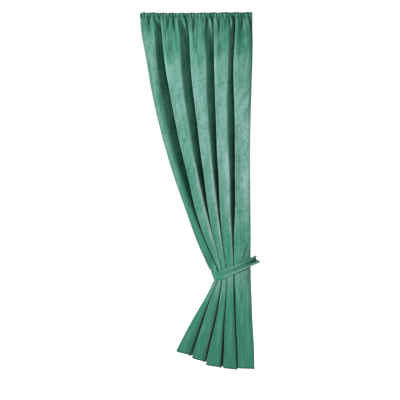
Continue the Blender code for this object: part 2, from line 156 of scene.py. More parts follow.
# the drape: its sizes and tables
drape = {
    "thick": 0.0018,            # velvet, one layer
    "flat": (1.40, 2.50),       # as it was cut
    "rollBack": 0.018,          # how far a fold's leading edge turns back
    "overhang": 0.012,          # how far a valley runs in under the next fold
    "fullPitch": 0.095,         # a narrower fold turns and overhangs less, in proportion
    "leastTurn": 0.24,          # but keeps this share of them
    "leastRound": 0.5,          # and this share of its rounding, front to back
    "freeDepth": 0.125,         # deepest that a fold may be
    "depthLevel": 6,            # how sharply the depth levels off towards that
    "sideDepth": 0.085,         # depth of the last fold
    "sideTurn": (0.15, 0.50),   # drops over which its side hem comes to curl in
    "sideFront": 0.90,          # share of it that faces forward
    "bowCome": (0.25, 0.70),    # drops over which the first fold's bow comes
    "bowFade": (1.20, 1.60),    # and over which it goes
    "bowCrest": 0.30,           # how far across the front its crest stands
    "foldStart": 0.017,         # drops between which the heading opens into the folds
    "foldFull": 0.200,
    "foldHaste": 0.54,          # below 1, they open sooner
    # the gathered heading
    "gathers": 36,              # small gathers across it
    "gatherDepth": 0.0058,
    "gatherEnd": 0.055,         # drop at which most of them have run out
    # how much, how often and from where the gathers change along the heading: their spacing,
    # in two parts, their depth and their length
    "gatherSpacing": ((0.16, 0.83, 0.0), (0.11, 1.71, 1.0)),
    "gatherTall": (0.30, 1.37, 0.6),
    "gatherLong": (0.25, 2.3, 2.0),
    "gatherTop": 0.62,          # share of their depth above the stitch line
    "gatherFull": 0.050,        # drop at which they have all of it
    "pleatFull": 0.060,         # drop at which the wider gathers stand fully out
    "pleatHold": 0.3,           # share of their run before they fade
    "pleatSpread": 0.02,        # how much broader they grow, for each metre down
    "tuckAbove": 0.004,         # how far above the stitch line the tucks begin
    "tuckFull": 0.044,          # how far below that they are fully drawn
    "tuckHold": 0.45,           # share of their run before they fade
    "tuckSpread": 2.5,          # share by which they broaden, for each metre down
    "stitchDrop": 0.031,        # the drawn stitch line
    "stitchDraw": (0.0020, 0.008),      # how far it is drawn back, half breadth
    "rollSwell": (0.0035, 0.009),       # how far the roll above it stands out, half breadth
    "edgeWave": 0.0035,         # height of the top edge's long waves
    "edgeWaves": 0.3,           # how many of them there are to a gather
    "edgeFirst": 1.3,           # where the first begins, in gathers
    "edgeUneven": (0.4, 0.094, 0.0),    # and how unevenly they follow each other
    "edgeSag": (0.0045, -0.13, 0.26),   # how far the edge sags, at what X, half breadth
    "edgeCorner": (0.006, 0.012),       # how far its left corner drops, half breadth
    "creaseTall": 1.6,          # how much the creases below are raised
    # painted sheen and painted shade on the velvet
    "frontSpan": (0.3, 0.9),    # steps of a fold's course over which its front begins
    "frontLeave": 5.7,          # step where the front ends
    "sideLeave": 8.0,           # and where the last fold's does
    "leaveSpan": 0.6,           # steps over which they end
    "markFade": 0.12,           # drop over which a mark comes, and goes again
    "sheenTop": 0.12,             # how pale the painted sheen is under the heading
    "sheenLeave": (1.88, 2.10),   # drops over which the painted sheen above the band goes
    "sheenLow": (1.92, 0.06),     # drop and half breadth of the painted sheen below the band
    "hollowSheen": 0.20,          # how pale the painted sheen in the valleys is above the band
    "hollowCome": (0.10, 0.25), # drops over which that comes
    "hollowFade": (0.85, 1.25), # and goes
    "lightUnderBand": 0.30,             # how pale the light painted just under the band is
    "lightUnderBandBelow": (0.016, 0.036),      # how far below the band that is, half breadth
    "lightUnderBandFrom": (0.185, 0.235),       # X over which it comes
    "tuckShading": 12.0,           # painted highlight on ridges, shade in tucks, per metre of relief
    "headDark": (0.20, 0.08, 0.24),     # painted shade on the heading, drops over which it goes
    "rollDark": (0.32, 0.012, 0.025),   # painted shade on its rolled edge
    "stitchDark": (0.35, 0.004),        # painted shade on the stitch line, and its half breadth
    "underDark": (0.13, 0.012, 0.014),  # painted shade under it: how dark, how far, half breadth
    "lowDark": (0.08, 2.05, 2.35),      # painted shade near the hem: how dark, drops where it comes
    "hemDark": (0.4, 0.003, 0.010),     # painted shade at the hem, and how far above it that goes
    # the mesh
    "columns": (420, 3.9),      # across the heading, and for each step of the folds' course
    "headRows": ((0.050, 16), (0.210, 12)),     # the heading's runs of rows: drop reached, count
    "bodyRows": 148,            # from there to the hem
}

# drop, X of the folds' left edges 1 to 5, X of the right side, share of folds 1 to 4 facing forward
sections = np.array((
    (0.000, -0.393, -0.2505, -0.064, 0.1175, 0.2725, 0.393, 0.62, 0.70, 0.68, 0.78),
    (0.161, -0.379, -0.238, -0.049, 0.1245, 0.269, 0.3925, 0.655, 0.665, 0.600, 0.735),
    (0.336, -0.347, -0.2215, -0.041, 0.125, 0.260, 0.3905, 0.565, 0.64, 0.67, 0.745),
    (0.546, -0.312, -0.1865, -0.0225, 0.1305, 0.263, 0.3840, 0.51, 0.60, 0.62, 0.66),
    (0.756, -0.266, -0.1470, 0.0035, 0.1385, 0.2695, 0.3780, 0.49, 0.595, 0.605, 0.600),
    (0.966, -0.211, -0.1030, 0.0290, 0.1455, 0.2710, 0.3735, 0.50, 0.615, 0.630, 0.625),
    (1.176, -0.146, -0.0520, 0.0575, 0.1575, 0.2715, 0.3745, 0.55, 0.645, 0.655, 0.665),
    (1.386, -0.0715, -0.0035, 0.085, 0.167, 0.272, 0.3765, 0.66, 0.785, 0.775, 0.665),
    (1.596, 0.0035, 0.067, 0.126, 0.1825, 0.2625, 0.3785, 0.83, 0.92, 0.88, 0.82),
    (1.736, 0.0645, 0.1255, 0.166, 0.202, 0.2645, 0.3785, 0.84, 0.88, 0.86, 0.86),
    (1.792, 0.090, 0.152, 0.1795, 0.209, 0.268, 0.3795, 0.80, 0.80, 0.80, 0.82),
    (1.848, 0.1235, 0.152, 0.181, 0.211, 0.2685, 0.3800, 0.78, 0.78, 0.78, 0.82),
    (1.904, 0.1130, 0.140, 0.179, 0.212, 0.268, 0.3810, 0.79, 0.79, 0.79, 0.82),
    (1.960, 0.0835, 0.1175, 0.1710, 0.2115, 0.268, 0.3835, 0.80, 0.81, 0.81, 0.83),
    (2.156, -0.0295, 0.0505, 0.1370, 0.199, 0.2745, 0.391, 0.80, 0.79, 0.81, 0.86),
    (2.366, -0.1385, -0.0155, 0.0870, 0.193, 0.287, 0.403, 0.81, 0.82, 0.82, 0.87),
    (2.500, -0.2015, -0.054, 0.0590, 0.187, 0.294, 0.405, 0.81, 0.82, 0.82, 0.87),
))

drops = sections[:, 0]
edges = sections[:, 1:7].T
fronts = sections[:, 7:].T

# cloth in each fold, how far its front's right end curves back, drop of its hem left and right
folds = np.array((
    (0.250, 0.014, 2.367, 2.403),
    (0.340, 0.000, 2.411, 2.444),
    (0.320, 0.000, 2.460, 2.483),
    (0.290, 0.000, 2.483, 2.496),
    (0.200, 0.000, 2.486, 2.4915),
))
foldCloth, foldBow, hemLeft, hemRight = folds.T

# one fold's course: share at the heading, across the front, over the valley, of the overhang,
# depth, and offsets to the right and back
course = np.array((
    (0.000, 0.00, 0.00, 0.00, 0.00, 0.005, drape["rollBack"]),
    (0.030, 0.00, 0.00, 0.00, 0.00, -0.004, 0.003),
    (0.080, 0.00, 0.00, 0.00, 0.00, 0.012, -0.003),
    (0.280, 0.38, 0.00, 0.00, 0.00, 0.000, -0.004),
    (0.520, 0.78, 0.00, 0.00, 0.00, 0.000, -0.004),
    (0.680, 1.00, 0.00, 0.00, 0.00, -0.002, -0.004),
    (0.730, 1.00, 0.00, 0.00, 0.00, 0.003, 0.001),
    (0.780, 1.00, 0.16, 0.16, 0.20, 0.000, 0.000),
    (0.840, 1.00, 0.74, 0.74, 0.76, 0.000, 0.000),
    (0.880, 1.00, 1.00, 1.00, 1.00, -0.005, -0.004),
    (0.905, 1.00, 1.00, 1.00, 1.00, 0.006, 0.002),
    (0.930, 1.00, 1.00, 1.00, 1.00, 0.008, -0.018),
    (0.965, 1.00, 1.00, 1.00, 0.50, 0.003, 0.000),
))
# the rest of the last fold's course: it has no valley, and its side hem curls back and in
sideCourse = np.array((
    (0.750, 1.00, 0.40, 0.00, 0.00, 0.000, -0.002),
    (0.860, 1.00, 0.98, 0.00, 0.00, 0.000, 0.000),
    (0.915, 1.00, 1.00, 0.00, 0.10, 0.001, 0.000),
    (0.955, 1.00, 1.00, 0.00, 0.45, -0.006, 0.000),
    (1.000, 1.00, 1.00, 0.00, 0.84, -0.022, 0.000),
))

# the wider gathers: X at the heading, lean for each metre down, height forward, or back where it
# is negative, half breadth, and the drop at which each has died away
pleats = (
    (-0.334, 0.09, -0.006, 0.008, 0.160),
    (-0.303, 0.16, 0.006, 0.009, 0.170),
    (-0.276, 0.15, 0.012, 0.007, 0.140),
    (-0.182, -0.22, -0.008, 0.009, 0.300),
    (-0.164, 0.06, -0.008, 0.008, 0.240),
    (-0.094, 0.03, 0.022, 0.006, 0.190),
    (-0.010, -0.08, -0.008, 0.009, 0.260),
    (0.060, 0.06, 0.008, 0.006, 0.120),
    (0.0880, 0.02, 0.026, 0.006, 0.240),
    (0.164, -0.07, -0.008, 0.009, 0.260),
    (0.2400, 0.02, 0.024, 0.005, 0.170),
    (0.325, -0.12, -0.008, 0.010, 0.220),
    (0.372, 0.02, -0.010, 0.009, 0.360),
)

# the creases that the stitch line draws in, and the ridges between them, which have a negative
# depth: X at the heading, lean for each metre down, depth, half breadth, and the drop at which
# each has died away
tucks = (
    (-0.365, 0.00, 0.008, 0.0035, 0.060),
    (-0.334, 0.05, 0.012, 0.0037, 0.130),
    (-0.309, 0.30, 0.012, 0.0037, 0.105),
    (-0.264, 0.00, 0.010, 0.0035, 0.072),
    (-0.230, 0.05, 0.010, 0.0037, 0.066),
    (-0.180, -0.18, 0.012, 0.0044, 0.160),
    (-0.164, 0.06, 0.013, 0.0037, 0.160),
    (-0.145, 0.00, 0.007, 0.0032, 0.058),
    (-0.118, 0.02, 0.017, 0.0044, 0.125),
    (-0.096, 0.00, 0.011, 0.0035, 0.072),
    (-0.062, 0.04, 0.013, 0.0037, 0.090),
    (-0.046, 0.00, 0.008, 0.0032, 0.058),
    (-0.008, -0.08, 0.015, 0.0040, 0.170),
    (0.013, 0.00, 0.007, 0.0032, 0.056),
    (0.037, 0.00, 0.011, 0.0035, 0.072),
    (0.052, 0.02, 0.016, 0.0040, 0.118),
    (0.074, 0.00, 0.012, 0.0040, 0.165),
    (0.111, 0.02, 0.014, 0.0040, 0.130),
    (0.138, 0.00, 0.007, 0.0032, 0.060),
    (0.165, -0.06, 0.014, 0.0040, 0.185),
    (0.209, 0.00, 0.011, 0.0035, 0.078),
    (0.232, 0.00, 0.016, 0.0042, 0.142),
    (0.254, 0.00, 0.009, 0.0037, 0.170),
    (0.270, 0.00, 0.013, 0.0039, 0.185),
    (0.300, 0.00, 0.008, 0.0032, 0.058),
    (0.323, -0.10, 0.014, 0.0040, 0.170),
    (0.344, 0.00, 0.009, 0.0035, 0.072),
    (0.373, 0.00, 0.012, 0.0044, 0.160),
    (-0.316, 0.28, -0.008, 0.0060, 0.170),
    (-0.239, 0.00, -0.006, 0.0060, 0.110),
    (-0.218, 0.00, -0.006, 0.0060, 0.090),
    (-0.173, 0.00, -0.007, 0.0050, 0.140),
    (-0.134, 0.00, -0.008, 0.0070, 0.170),
    (-0.036, 0.00, -0.006, 0.0050, 0.100),
    (0.062, 0.00, -0.010, 0.0050, 0.140),
    (0.139, 0.00, -0.006, 0.0060, 0.140),
    (0.191, 0.00, -0.007, 0.0070, 0.180),
    (0.289, 0.00, -0.007, 0.0060, 0.190),
    (0.356, 0.00, -0.006, 0.0070, 0.160),
    (-0.279, 0.20, -0.010, 0.0036, 0.120),
    (-0.094, 0.06, -0.012, 0.0036, 0.130),
    (0.0885, 0.08, -0.014, 0.0036, 0.160),
    (0.240, 0.03, -0.012, 0.0036, 0.130),
)

# creases on the fronts: X and drop of the middle, lean sideways for each metre down, half length,
# half breadth, and height forward, or back where it is negative
creases = (
    (-0.005, 0.620, -0.75, 0.030, 0.006, -0.0040),
    (0.006, 0.670, -0.80, 0.026, 0.006, -0.0035),
    (0.012, 0.700, -0.70, 0.028, 0.007, 0.0030),
    (0.154, 0.545, -1.00, 0.030, 0.006, -0.0035),
    (0.160, 0.585, -1.00, 0.034, 0.006, -0.0030),
    (0.155, 0.620, -0.90, 0.026, 0.006, 0.0028),
    (-0.150, 0.540, -0.65, 0.080, 0.014, -0.0035),
    (-0.152, 0.630, -0.60, 0.075, 0.013, 0.0030),
    (-0.105, 0.790, -0.80, 0.050, 0.011, -0.0028),
    (0.318, 0.650, -0.55, 0.090, 0.015, -0.0050),
    (0.345, 0.690, -0.60, 0.050, 0.009, 0.0035),
    (0.300, 0.420, -0.90, 0.024, 0.007, -0.0028),
    (0.332, 0.930, -0.65, 0.045, 0.009, -0.0038),
    (0.350, 0.945, -0.60, 0.038, 0.008, 0.0030),
    (0.315, 1.190, -0.50, 0.040, 0.008, -0.0038),
    (0.330, 1.240, -0.55, 0.036, 0.008, 0.0030),
    (0.190, 1.070, -0.45, 0.040, 0.008, -0.0026),
    (-0.285, 0.440, -0.80, 0.060, 0.012, -0.0026),
    (0.060, 1.000, -0.55, 0.060, 0.010, -0.0024),
    (0.326, 1.690, -0.34, 0.055, 0.008, 0.0050),
    (0.343, 1.680, -0.45, 0.060, 0.008, -0.0045),
    (0.300, 1.640, -0.10, 0.080, 0.009, 0.0030),
    (0.120, 1.985, -0.55, 0.050, 0.007, 0.0030),
    (0.310, 1.960, -0.10, 0.060, 0.012, 0.0040),
)

# painted sheen on the front of each fold: how pale it is painted, the drops between which that
# comes and those between which it goes, how pale it stays, and how pale it is below the band
frontSheen = np.array((
    (0.42, 0.08, 0.26, 0.85, 1.45, 0.10, 0.42),
    (0.53, 0.17, 0.58, 0.60, 1.10, 0.20, 0.20),
    (0.55, 0.18, 0.45, 0.90, 1.45, 0.20, 0.18),
    (0.60, 0.15, 0.62, 1.05, 1.66, 0.06, 0.04),
    (0.66, 0.17, 0.76, 1.16, 1.70, 0.10, 0.04),
))

# painted highlights down the folds, or painted shade, greener, below zero: the fold's number,
# step along its course, half breadth in steps, drops at which it starts and ends, and how pale
paintedLightMarks = (
    (1, 7.7, 0.36, 0.04, 0.10, 0.55),
    (1, 7.9, 1.10, 0.05, 0.20, 0.24),
    (2, 8.0, 0.40, 0.02, 0.12, 0.95),
    (2, 7.9, 1.10, 0.08, 0.22, 0.28),
    (3, 7.9, 0.36, 0.02, 0.09, 0.50),
    (3, 8.2, 0.40, 0.03, 0.16, 0.95),
    (4, 7.6, 0.70, 0.02, 0.14, 0.80),
    (4, 7.8, 0.80, 0.10, 0.40, 0.35),
    (2, 1.0, 0.50, 0.30, 0.90, 0.26),
    (3, 1.0, 0.45, 0.35, 0.95, 0.22),
    (4, 1.0, 0.50, 0.35, 0.95, 0.20),
    (5, 1.0, 0.45, 0.35, 0.85, 0.20),
    (2, 5.3, 0.60, 1.00, 1.62, 0.75),
    (3, 5.3, 0.60, 1.05, 1.60, 0.75),
    (4, 5.3, 0.55, 0.95, 1.66, 0.60),
    (2, 4.7, 0.80, 0.96, 1.54, 0.62),
    (3, 4.7, 0.80, 1.00, 1.52, 0.60),
    (4, 4.5, 0.90, 0.90, 1.46, 0.44),
    (4, 4.8, 0.50, 1.46, 1.76, 0.40),
    (5, 4.4, 1.00, 0.98, 1.20, 0.30),
    (1, 4.3, 1.00, 0.36, 0.60, -0.32),
    (1, 4.3, 1.00, 0.60, 1.70, -0.20),
    (4, 2.7, 0.50, 0.80, 1.40, -0.12),
    (5, 2.7, 0.60, 0.75, 1.40, -0.26),
    (4, 1.6, 0.60, 0.14, 0.34, 0.16),
    (5, 1.6, 0.60, 0.14, 0.34, 0.16),
    (5, 5.6, 2.20, 1.55, 2.00, 0.20),
    (5, 7.3, 0.60, 0.85, 1.20, 0.35),
    (5, 6.6, 1.40, 0.22, 0.62, -0.22),
    (2, 1.2, 0.60, 1.94, 2.04, 0.30),
    (3, 1.2, 0.60, 1.88, 2.00, 0.22),
    (1, 8.0, 2.00, 1.42, 1.75, 0.30),
    (1, 8.0, 2.00, 1.92, 2.50, 0.50),
    (2, 8.0, 2.00, 1.92, 2.50, 0.95),
    (3, 8.0, 2.00, 1.84, 2.08, 0.60),
)

# painted shade, in the same columns: deep in the valleys, and along the folds' left edges
paintedShadeMarks = (
    (1, 8.0, 2.20, 0.12, 0.90, 0.44),
    (1, 8.3, 1.90, 0.92, 1.30, 0.62),
    (2, 2.7, 0.45, 0.10, 0.30, 0.54),
    (1, 2.8, 0.40, -0.06, 0.06, 0.26),
    (1, 3.8, 0.35, -0.04, 0.08, 0.30),
    (2, 1.9, 0.50, -0.06, 0.03, 0.30),
    (3, 1.9, 0.50, -0.06, 0.05, 0.32),
    (5, 3.4, 0.35, -0.04, 0.10, 0.34),
    (3, 2.7, 0.36, 0.07, 0.22, 0.34),
    (3, 3.5, 0.36, 0.04, 0.16, 0.22),
    (4, 2.7, 0.40, 0.07, 0.27, 0.58),
    (5, 2.7, 0.45, 0.07, 0.26, 0.50),
    (2, 8.0, 2.40, 0.72, 1.46, 0.30),
    (2, 8.0, 2.40, 0.98, 1.46, 0.45),
    (3, 8.0, 2.40, 0.70, 1.46, 0.28),
    (3, 8.0, 2.40, 1.02, 1.46, 0.44),
    (4, 8.0, 2.40, 0.84, 1.46, 0.24),
    (4, 8.0, 2.40, 1.06, 1.46, 0.34),
    (4, 5.9, 0.50, 1.48, 1.66, 0.80),
    (1, 8.8, 0.60, 0.04, 1.10, 0.92),
    (2, 8.8, 0.90, 0.16, 0.95, 0.85),
    (3, 8.8, 0.90, 0.18, 0.95, 0.72),
    (4, 8.8, 1.00, 0.20, 1.00, 0.92),
    (3, 8.5, 2.50, 2.14, 2.50, 0.95),
    (4, 8.5, 2.50, 1.92, 2.42, 0.95),
    (1, 1.7, 0.70, 0.08, 1.75, 0.46),
    (1, 4.6, 1.20, 0.20, 0.50, 0.30),
    (2, 1.8, 0.60, 0.46, 1.75, 0.30),
    (3, 1.8, 0.60, 0.55, 1.75, 0.30),
    (4, 1.8, 0.60, 0.50, 1.75, 0.30),
    (5, 1.7, 0.80, 0.70, 1.32, 0.42),
    (1, 2.9, 1.80, 1.78, 1.88, 0.34),
    (2, 1.9, 0.70, 1.76, 1.93, 0.58),
    (3, 1.9, 0.70, 1.76, 1.92, 0.40),
    (4, 4.6, 0.80, 2.10, 2.50, 0.14),
    (5, 5.2, 0.80, 1.76, 2.10, 0.36),
    (1, 1.8, 0.60, 1.98, 2.50, 0.34),
    (2, 1.8, 0.60, 1.98, 2.50, 0.38),
    (3, 1.8, 0.60, 1.98, 2.50, 0.38),
    (4, 1.8, 0.60, 1.98, 2.50, 0.32),
    (5, 1.8, 0.50, 1.98, 2.50, 0.26),
    (1, 4.6, 1.00, 1.98, 2.50, 0.28),
    (2, 4.5, 1.10, 1.80, 2.50, 0.28),
    (5, 0.0, 0.60, 0.20, 0.90, 0.30),
    (5, 7.2, 1.30, 0.02, 0.34, 0.50),
    (5, 5.3, 1.00, 0.02, 0.72, 0.34),
    (1, 6.2, 1.20, 1.98, 2.50, 0.22),
    (2, 6.0, 1.20, 1.98, 2.50, 0.14),
)


# the tieback: its sizes and tables
tieback = {
    "thick": 0.0025,
    "flat": (0.060, 0.75),      # as it was cut
    "width": 0.058,
    "taper": 0.11,              # share of its width that it loses towards the ends
    "pinch": 0.0065,            # how far its lower edge is drawn up, midway along
    "pinchCome": (0.15, 0.36),  # shares of its way over which that comes
    "pinchFade": (0.80, 0.97),  # and goes
    "left": 0.1305,             # the waist's left and right sides, inside the band
    "right": 0.3835,
    "depth": 0.114,             # the waist's depth
    "oval": 2.4,                # squareness of its oval
    "gap": 0.0017,              # from the oval to the band's inner face
    "end": 0.4300,              # where the two ends are cut
    "endGap": 0.0070,           # half the space between them
    "endSweep": 1.3,            # how the ends' way bends out from the waist
    "endSlant": 0.006,          # how much further the lower half of an end reaches
    "notch": 0.014,             # how far the middle of an end is drawn in
    "low": 1.846,               # drop of the band's middle at its left side
    "rise": 0.118,              # how much it climbs to the ends
    "climb": 1.3,               # how the climb gathers pace
    "lean": 0.0235,             # how far its upper edge leans out, round its left side
    "roundLeft": 0.075,         # how far from there that is gone
    "clear": 0.001,             # how far inside it the cloth's side is held
    "holdFull": 0.031,          # the cloth's sides are drawn in so far from the band's middle
    "holdReach": 0.046,         # and let go by here
    "gripFull": 0.039,          # the folds lie on the oval so far from it
    "gripReach": 0.190,         # and hang free by here
    "innerEase": 0.4,           # share of their inward turns that it presses flat
    "stripsCome": (0.040, 0.100),       # how far from its left side its strips come out
    "plainRelief": 0.12,        # share of their height before that
    "endRelief": 0.6,           # and how much more they stand out at the ends
    "plainSheen": 0.05,           # how pale its painted sheen is
    "stripsSheen": 0.05,          # and how much paler it is painted where it has its strips
    # painted highlights on the lower and upper strip: how pale, where across the band, half breadth
    "lowerHighlight": (0.52, -0.80, 0.17),
    "upperHighlight": (0.28, 0.82, 0.16),
    "betweenDark": 0.16,        # painted shade between the strips
    "endDark": 0.80,            # and how much more painted shadow inside the ends
    "endFrom": (0.78, 0.93),    # shares of its way over which that comes
    "darkBand": (0.05, 0.50),   # where across the band that is, half breadth
    "steps": (88, 22),          # along the oval's half, and from there to an end
    "closer": 1.25,             # above 1, the steps round its left side are shorter
    "ovalPoints": 2000,         # that the oval is worked out in
}

# the band's relief: place across it, from -1 at its lower edge to 1, and out from the waist
relief = np.array((
    (-1.00, 0.0010),
    (-0.93, 0.0024),
    (-0.82, 0.0036),
    (-0.70, 0.0034),
    (-0.57, 0.0015),
    (-0.42, 0.0007),
    (-0.22, 0.0003),
    (0.00, 0.0000),
    (0.24, 0.0004),
    (0.44, 0.0009),
    (0.58, 0.0018),
    (0.70, 0.0038),
    (0.82, 0.0046),
    (0.93, 0.0034),
    (1.00, 0.0018),
))


# the drape's surface, along the folds' course
steps = len(course)             # in one fold's course
frontSteps = (1, 6)             # those where its front begins and ends
sideStart = 6                   # where the last fold's own course begins
fullFolds = len(folds) - 1
last = fullFolds * steps + sideStart + len(sideCourse) - 1
headEdges = edges[:, 0]


def readSections(values, drop):
    # a smooth curve through one column of the sections, read at any drop
    slopes = np.gradient(values, drops)
    row = np.clip(np.searchsorted(drops, drop) - 1, 0, len(drops) - 2)
    span = drops[row + 1] - drops[row]
    t = (drop - drops[row]) / span
    start = values[row] * (1 + 2 * t) + slopes[row] * span * t
    end = values[row + 1] * (3 - 2 * t) - slopes[row + 1] * span * (1 - t)
    return start * (1 - t) ** 2 + end * t ** 2


def tieDrop(x):
    # drop of the band's middle
    t = np.clip((x - tieback["left"]) / (tieback["end"] - tieback["left"]), 0.0, 1.0)
    return tieback["low"] - tieback["rise"] * t ** tieback["climb"]


def waistHalfDepth(x):
    # of the oval that the folds lie on
    middle = (tieback["left"] + tieback["right"]) / 2
    t = np.clip(np.abs(x - middle) / (tieback["right"] - middle), 0.0, 1.0)
    return tieback["depth"] / 2 * (1 - t ** tieback["oval"]) ** (1 / tieback["oval"])


def courseRow(index):
    # the fold and the course's row of each point, counted from the drape's left side
    index = np.clip(index, 0, last)
    fold = np.minimum(index // steps, fullFolds)
    step = index - fold * steps
    rows = course[np.minimum(step, steps - 1)]
    onSide = (fold == fullFolds) & (step >= sideStart)
    sideRows = sideCourse[np.clip(step - sideStart, 0, len(sideCourse) - 1)]
    return fold, np.where(onSide[:, None], sideRows, rows)


def headAt(index):
    # X at the heading
    fold, rows = courseRow(index)
    return headEdges[fold] + (headEdges[fold + 1] - headEdges[fold]) * rows[:, 0]


def foldDepth(cloth, front, wide, under):
    # cloth left after the front goes back, across and out again
    spare = cloth - front
    reach = (spare ** 2 + wide ** 2 - under ** 2) / (2 * spare)
    depth = np.sqrt(np.maximum(reach ** 2 - wide ** 2, 0.0))
    level = drape["depthLevel"]
    return depth / (1 + (depth / drape["freeDepth"]) ** level) ** (1 / level)


def coursePoint(index, drop):
    # X and Y of the course's points, each at its own drop
    fold, rows = courseRow(index)
    across, beyond, under, deep, right, back = rows[:, 1:].T
    lines = np.array([readSections(edge, drop) for edge in edges])
    pick = np.arange(len(drop))
    left = lines[fold, pick]
    pitch = lines[fold + 1, pick] - left
    lastFold = fold == fullFolds
    shares = np.array([readSections(front, drop) for front in fronts])
    shares = shares[np.minimum(fold, fullFolds - 1), pick]
    front = pitch * np.where(lastFold, drape["sideFront"], shares)
    small = np.clip(pitch / drape["fullPitch"], drape["leastTurn"], 1.0)
    overhang = drape["overhang"] * small
    depth = foldDepth(foldCloth[fold], front, pitch - front + overhang, overhang)
    depth = np.where(lastFold, drape["sideDepth"], depth)
    x = left + across * front + beyond * (pitch - front) + under * overhang
    inward = np.where(lastFold & (right < 0), ease(drop, *drape["sideTurn"]), 1.0)
    x = x + right * small * inward
    # the band draws the sides in, and under it the folds lie on the waist's oval
    away = np.abs(drop - tieDrop(x))
    hold = 1 - ease(away, tieback["holdFull"], tieback["holdReach"])
    lift = np.clip((tieDrop(x) - drop) / tieback["width"] + 0.5, 0.0, 1.0)
    side = tieback["left"] - tieback["lean"] * lift + tieback["clear"]
    x = x + hold * np.maximum(side - x, 0.0)
    grip = 1 - ease(away, tieback["gripFull"], tieback["gripReach"])
    half = (1 - grip) * depth / 2 + grip * waistHalfDepth(x)
    outward = back * (deep - 0.5) > 0
    bow = foldBow[fold] * ease(drop, *drape["bowCome"]) * (1 - ease(drop, *drape["bowFade"]))
    curve = ((across - drape["bowCrest"]) / (1 - drape["bowCrest"])) ** 2
    y = half * (2 * deep - 1) + bow * curve * (1 - deep)
    pressed = grip * np.where(outward, 1.0, tieback["innerEase"])
    y = y + back * np.maximum(small, drape["leastRound"]) * (1 - pressed)
    return x, y


def foldSurface(place, drop):
    # a smooth curve along the course, which passes near its points
    base = np.floor(place).astype(int)
    t = place - base
    weights = (
        (1 - t) ** 3 / 6,
        (3 * t ** 3 - 6 * t ** 2 + 4) / 6,
        (-3 * t ** 3 + 3 * t ** 2 + 3 * t + 1) / 6,
        t ** 3 / 6,
    )
    x = np.zeros(len(place))
    y = np.zeros(len(place))
    for offset, weight in zip((-1, 0, 1, 2), weights):
        pointX, pointY = coursePoint(base + offset, drop)
        x += weight * pointX
        y += weight * pointY
    return x, y


def vary(turn, amount, often, start):
    # a slow change along the gathers
    return amount * np.sin(turn * often + start)


def gatherTurn(headX):
    # gathers from the left corner
    turn = (headX - headEdges[0]) / (headEdges[-1] - headEdges[0]) * drape["gathers"]
    slow, quick = drape["gatherSpacing"]
    return turn + vary(turn, *slow) + vary(turn, *quick)


def tuckRelief(headX, drop):
    # the tucks, as relief towards the front
    start = drape["stitchDrop"] - drape["tuckAbove"]
    drawn = ease(drop, start, start + drape["tuckFull"])
    forward = np.zeros(len(headX))
    for x, lean, depth, width, run in tucks:
        shape = bump(headX, x + lean * drop, width * (1 + drape["tuckSpread"] * drop))
        reach = drawn * (1 - ease(drop, drape["tuckHold"] * run, run))
        forward -= depth * shape * reach
    return forward


def gatherRelief(headX, drop):
    # the small gathers and the wider ones, as relief towards the front
    turn = gatherTurn(headX)
    stitch = drape["stitchDrop"]
    height = 1 + vary(turn, *drape["gatherTall"])
    run = drape["gatherEnd"] * (1 + vary(turn, *drape["gatherLong"]))
    small = height * np.sin(2 * np.pi * turn) * (1 - ease(drop, stitch, run))
    top = drape["gatherTop"]
    small = small * (top + (1 - top) * ease(drop, stitch, drape["gatherFull"]))
    forward = drape["gatherDepth"] * small
    stands = ease(drop, 0.0, drape["pleatFull"])
    for x, lean, tall, width, run in pleats:
        shape = bump(headX, x + lean * drop, width + drape["pleatSpread"] * drop)
        reach = 1 - ease(drop, drape["pleatHold"] * run, run)
        forward = forward + tall * shape * stands * reach
    return forward


def creaseRelief(x, drop):
    # the creases, as relief towards the front
    forward = np.zeros(len(x))
    for midX, midDrop, lean, halfLength, width, tall in creases:
        slant = math.hypot(1.0, lean)
        along = ((drop - midDrop) + (x - midX) * lean) / slant
        off = ((x - midX) - (drop - midDrop) * lean) / slant
        forward += tall * bump(along, 0.0, halfLength) * bump(off, 0.0, width)
    return forward * drape["creaseTall"]


def foldStep(place):
    # the fold of each place along the course, and how far along that fold it is
    fold = np.minimum(place // steps, fullFolds).astype(int)
    return fold, place - fold * steps


def facing(place):
    # 1 on the folds' fronts, 0 on their ways back
    fold, step = foldStep(place)
    leave = np.where(fold == fullFolds, drape["sideLeave"], drape["frontLeave"])
    return ease(step, *drape["frontSpan"]) * (1 - ease(step, leave, leave + drape["leaveSpan"]))


def touches(table, place, drop):
    # the sum of a table's marks, each along a few steps of one fold between two drops
    fold, step = foldStep(place)
    fade = drape["markFade"]
    value = np.zeros(len(place))
    for number, at, width, start, end, amount in table:
        run = ease(drop, start, start + fade) * (1 - ease(drop, end, end + fade))
        value += amount * bump(step, at, width) * run * (fold == number - 1)
    return value


def headPlaces(place):
    # X at the heading of each place along the course
    index = np.arange(last + 1)
    return np.interp(place, index, headAt(index))


def sheenPainted(place, drop, x):
    # painted sheen: by fold and height, with painted highlights on the rims where the cloth turns
    fold, step = foldStep(place)
    top = drape["sheenTop"]
    pale, comeStart, comeEnd, goStart, goEnd, stays, low = frontSheen[fold].T
    level = top + (pale - top) * ease(drop, comeStart, comeEnd)
    level = level + (stays - pale) * ease(drop, goStart, goEnd)
    height = fading(drop, level, *drape["sheenLeave"]) + low * bump(drop, *drape["sheenLow"])
    front = facing(place)
    hollow = drape["hollowSheen"] * (1 - front) * ease(drop, *drape["hollowCome"])
    hollow = fading(drop, hollow, *drape["hollowFade"])
    tuck = drape["tuckShading"] * np.maximum(tuckRelief(headPlaces(place), drop), 0.0)
    # and a painted pool of light just under the band
    below = drop - tieDrop(x) - tieback["width"] / 2
    lightUnderBand = drape["lightUnderBand"] * bump(below, *drape["lightUnderBandBelow"])
    lightUnderBand = lightUnderBand * ease(x, *drape["lightUnderBandFrom"]) * front
    return height * front + hollow + tuck + lightUnderBand + touches(paintedLightMarks, place, drop)


